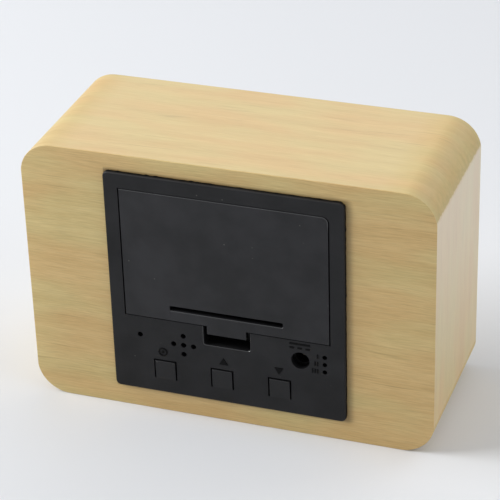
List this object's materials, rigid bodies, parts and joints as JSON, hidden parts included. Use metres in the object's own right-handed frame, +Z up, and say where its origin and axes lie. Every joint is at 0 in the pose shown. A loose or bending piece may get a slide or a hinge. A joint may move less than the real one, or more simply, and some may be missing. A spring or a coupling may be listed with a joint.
{
  "type": "digital led desk clock",
  "caption": "Block-shaped desk clock with rounded corners, a seven-segment display behind its front film, and a square rear panel with battery door and press buttons.",
  "frame": {"origin": "middle of the base, on the surface that the clock stands on", "axes": "+X along the width, -Y the way the display faces, +Y the way the rear panel faces, +Z up"},
  "size_m": [0.1, 0.0417, 0.068],
  "materials": {
    "wood_film": "satin printed wood-grain PVC film",
    "mdf": "raw medium-density fibreboard",
    "black_abs": "fine spark texture, moulded",
    "switch_plastic": "moulded nylon",
    "nickel_plate": "nickel-plated spring steel",
    "spring_wire": "nickel-plated wire",
    "red_lead": "PVC insulation",
    "black_lead": "PVC insulation",
    "circuit_board": "solder mask on glass epoxy",
    "chip_plastic": "moulded epoxy",
    "can_aluminium": "drawn can",
    "resistor_ceramic": "fired chip",
    "screw_steel": "zinc-plated",
    "white_plastic": "moulded white ABS",
    "lens_resin": "milky cast resin",
    "diffuser_film": "frosted film",
    "led_resin": "phosphor-filled resin",
    "grey_ribbon": "flat ribbon insulation"
  },
  "bodies": {
    "case": {"back_board": "mdf", "back_film": "wood_film", "back_panel": "black_abs", "base_film": "wood_film", "board_header": "white_plastic", "board_ribbon": "grey_ribbon", "board_screws": "screw_steel", "body_frame": "mdf", "bottom_cell_spring": "spring_wire", "buzzer": "switch_plastic", "chip_resistors": "resistor_ceramic", "clock_chip": "chip_plastic", "control_board": "circuit_board", "crystal": "nickel_plate", "display_board": "circuit_board", "display_header": "white_plastic", "display_screws": "screw_steel", "down_switch": "switch_plastic", "driver_chip": "chip_plastic", "filter_capacitor": "can_aluminium", "front_board": "mdf", "front_film": "wood_film", "jack_pin": "nickel_plate", "led_chips": "led_resin", "left_link_plate": "nickel_plate", "light_diffuser": "diffuser_film", "microphone": "nickel_plate", "middle_cell_spring": "spring_wire", "negative_lead": "black_lead", "negative_plate": "nickel_plate", "positive_lead": "red_lead", "positive_plate": "nickel_plate", "power_jack": "switch_plastic", "right_link_plate": "nickel_plate", "segment_lenses": "lens_resin", "segment_reflector": "white_plastic", "service_pins": "nickel_plate", "set_switch": "switch_plastic", "thermistor": "chip_plastic", "top_cell_spring": "spring_wire", "up_switch": "switch_plastic", "wrap_film": "wood_film"},
    "door": {"battery_door": "black_abs"},
    "latch": {"door_latch": "black_abs"},
    "set_button": {"set_tab": "black_abs"},
    "set_plunger": {"set_stem": "switch_plastic"},
    "up_button": {"up_tab": "black_abs"},
    "up_plunger": {"up_stem": "switch_plastic"},
    "down_button": {"down_tab": "black_abs"},
    "down_plunger": {"down_stem": "switch_plastic"}
  },
  "joints": [
    {"name": "door_hinge", "type": "hinge", "parent": "case", "child": "door", "pos_m": [0, 0.0212, 0.0597], "axis": [1, 0, 0], "range_deg": [0, 80]},
    {"name": "latch_lift", "type": "slide", "parent": "door", "child": "latch", "axis": [0, 0, 1], "range_m": [0, 0.001], "stiffness_N_per_m": 3000},
    {"name": "set_press", "type": "hinge", "parent": "case", "child": "set_button", "pos_m": [0.01586, 0.0198, 0.00955], "axis": [1, 0, 0], "range_deg": [0, 5.5], "stiffness_Nm_per_rad": 0.06},
    {"name": "set_plunge", "type": "slide", "parent": "case", "child": "set_plunger", "axis": [0, -1, 0], "range_m": [0, 0.0002975]},
    {"name": "up_press", "type": "hinge", "parent": "case", "child": "up_button", "pos_m": [0.0015, 0.0198, 0.00955], "axis": [1, 0, 0], "range_deg": [0, 5.5], "stiffness_Nm_per_rad": 0.06},
    {"name": "up_plunge", "type": "slide", "parent": "case", "child": "up_plunger", "axis": [0, -1, 0], "range_m": [0, 0.0002975]},
    {"name": "down_press", "type": "hinge", "parent": "case", "child": "down_button", "pos_m": [-0.01286, 0.0198, 0.00955], "axis": [1, 0, 0], "range_deg": [0, 5.5], "stiffness_Nm_per_rad": 0.06},
    {"name": "down_plunge", "type": "slide", "parent": "case", "child": "down_plunger", "axis": [0, -1, 0], "range_m": [0, 0.0002975]}
  ],
  "couplings": [
    {"joint": "set_press", "follows": "set_plunge", "rad_per_m": 322.58},
    {"joint": "up_press", "follows": "up_plunge", "rad_per_m": 322.58},
    {"joint": "down_press", "follows": "down_plunge", "rad_per_m": 322.58}
  ]
}
